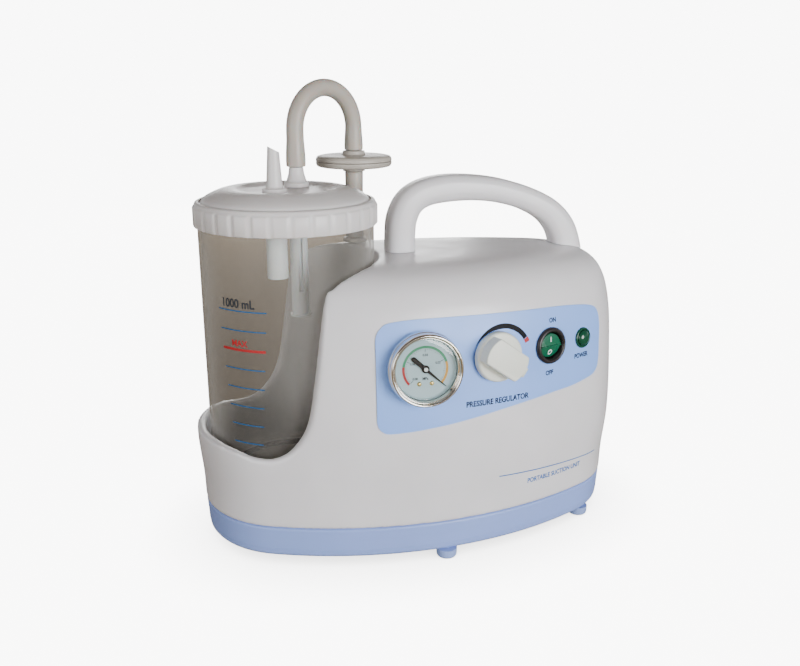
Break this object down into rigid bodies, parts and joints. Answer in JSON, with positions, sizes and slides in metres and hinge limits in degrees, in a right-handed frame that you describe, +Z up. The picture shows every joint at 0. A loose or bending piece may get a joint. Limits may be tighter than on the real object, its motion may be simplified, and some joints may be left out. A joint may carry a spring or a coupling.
{
  "type": "suction pump",
  "caption": "Portable suction pump with a cradled clear collection jar, arched hose and disc filter, front gauge, regulator knob, rocker switch and top carry handle.",
  "frame": {"origin": "on the floor, under the centre of the whole unit's bounding box (the oval housing's own centre is 4 mm behind it, because the knob stands out in front)", "axes": "+Z up, +X along the length away from the jar, -Y towards the front with the gauge and knob"},
  "size_m": [0.2802, 0.1728, 0.2868],
  "materials": {
    "white_shell": "moulded satin, warm white",
    "blue_base": "moulded satin, light blue",
    "blue_label": "printed film, light blue",
    "foot_rubber": "moulded rubber, light blue",
    "chrome": "polished",
    "gauge_black": "painted black",
    "dial_white": "printed dial",
    "clear": "polished",
    "smoky_clear": "clear moulded polycarbonate, slightly smoky",
    "knob_cream": "moulded cream",
    "switch_black": "moulded black",
    "rocker_green": "translucent green",
    "lamp_green": "dark green lens",
    "lid_white": "moulded satin white",
    "hose_silicone": "translucent silicone",
    "filter_plastic": "moulded grey",
    "membrane": "filter paper",
    "float_plastic": "moulded translucent white",
    "black_rubber": "moulded",
    "steel": "machined",
    "zinc_plate": "zinc plated",
    "aluminium": "cast",
    "brass": "machined",
    "inlet_black": "moulded black"
  },
  "bodies": {
    "housing": {"upper_shell": "white_shell", "base_tray": "blue_base", "foot_front_left": "foot_rubber", "foot_front_middle": "foot_rubber", "foot_front_right": "foot_rubber", "foot_rear_left": "foot_rubber", "foot_rear_middle": "foot_rubber", "foot_rear_right": "foot_rubber", "base_screw_front_left": "steel", "base_screw_front_right": "steel", "base_screw_rear_left": "steel", "base_screw_rear_right": "steel", "carry_handle": "white_shell", "control_panel_label": "blue_label", "gauge_case": "gauge_black", "gauge_bezel": "chrome", "gauge_dial": "dial_white", "gauge_lens": "clear", "regulator_valve": "brass", "regulator_nut": "zinc_plate", "switch_body": "switch_black", "lamp_body": "lamp_green", "lamp_lens": "lamp_green", "jar_seat_ring": "black_rubber", "vacuum_inlet_port": "filter_plastic", "motor_can": "zinc_plate", "crankcase": "aluminium", "pump_cylinder": "aluminium", "pump_head": "aluminium", "pump_bracket": "zinc_plate", "rubber_mount_front_left": "black_rubber", "rubber_mount_front_right": "black_rubber", "rubber_mount_rear_left": "black_rubber", "rubber_mount_rear_right": "black_rubber", "exhaust_muffler": "inlet_black", "vacuum_tube": "hose_silicone", "mains_inlet": "inlet_black"},
    "knob": {"regulator_knob": "knob_cream", "regulator_spindle": "steel"},
    "rocker": {"switch_rocker": "rocker_green"},
    "pointer": {"gauge_pointer": "gauge_black"},
    "jar": {"collection_jar": "smoky_clear"},
    "lid": {"lid_cover": "lid_white", "lid_gasket": "hose_silicone", "patient_nozzle": "lid_white", "vacuum_nozzle": "lid_white", "float_cage": "float_plastic"},
    "ring": {"lid_ring": "lid_white"},
    "float_valve": {"float": "float_plastic"},
    "hose": {"hose_arch": "hose_silicone", "filter_upper_half": "filter_plastic", "filter_lower_half": "filter_plastic", "filter_membrane": "membrane", "hose_lower": "hose_silicone"},
    "fuse": {"fuse_drawer": "inlet_black"},
    "rotor": {"motor_rotor": "steel", "cooling_fan": "switch_black", "crank": "steel"},
    "piston": {"piston_rod": "aluminium"}
  },
  "joints": [
    {"name": "jar_lift", "type": "slide", "parent": "housing", "child": "jar", "axis": [0, 0, 1], "range_m": [0, 0.16]},
    {"name": "lid_lift", "type": "slide", "parent": "jar", "child": "lid", "axis": [0, 0, 1], "range_m": [0, 0.09]},
    {"name": "lid_ring_turn", "type": "hinge", "parent": "lid", "child": "ring", "pos_m": [-0.0788, 0.0042, 0.209], "axis": [0, 0, 1], "range_deg": [0, 360]},
    {"name": "float_rise", "type": "slide", "parent": "lid", "child": "float_valve", "axis": [0, 0, 1], "range_m": [0, 0.0115]},
    {"name": "hose_pull", "type": "slide", "parent": "lid", "child": "hose", "axis": [0, 0, 1], "range_m": [0, 0.04]},
    {"name": "regulator_turn", "type": "hinge", "parent": "housing", "child": "knob", "pos_m": [0.03172, -0.07976, 0.13107], "axis": [0.1218, -0.9896, 0.077], "range_deg": [0, 240]},
    {"name": "switch_rock", "type": "hinge", "parent": "housing", "child": "rocker", "pos_m": [0.0686, -0.06207, 0.131], "axis": [0.9615, 0.2749, 0], "range_deg": [-16, 0]},
    {"name": "pointer_swing", "type": "hinge", "parent": "housing", "child": "pointer", "pos_m": [-0.0144, -0.07153, 0.1276], "axis": [-0.0575, -0.9954, 0.077], "range_deg": [0, 270], "stiffness_Nm_per_rad": 0.0004},
    {"name": "rotor_spin", "type": "hinge", "parent": "housing", "child": "rotor", "pos_m": [0.06, 0.0042, 0.058], "axis": [1, 0, 0], "continuous": true},
    {"name": "piston_stroke", "type": "slide", "parent": "housing", "child": "piston", "axis": [0, 0, 1], "range_m": [-0.003, 0.003]},
    {"name": "fuse_drawer_pull", "type": "slide", "parent": "housing", "child": "fuse", "axis": [0.0476, 0.9946, -0.0925], "range_m": [0, 0.016]}
  ]
}
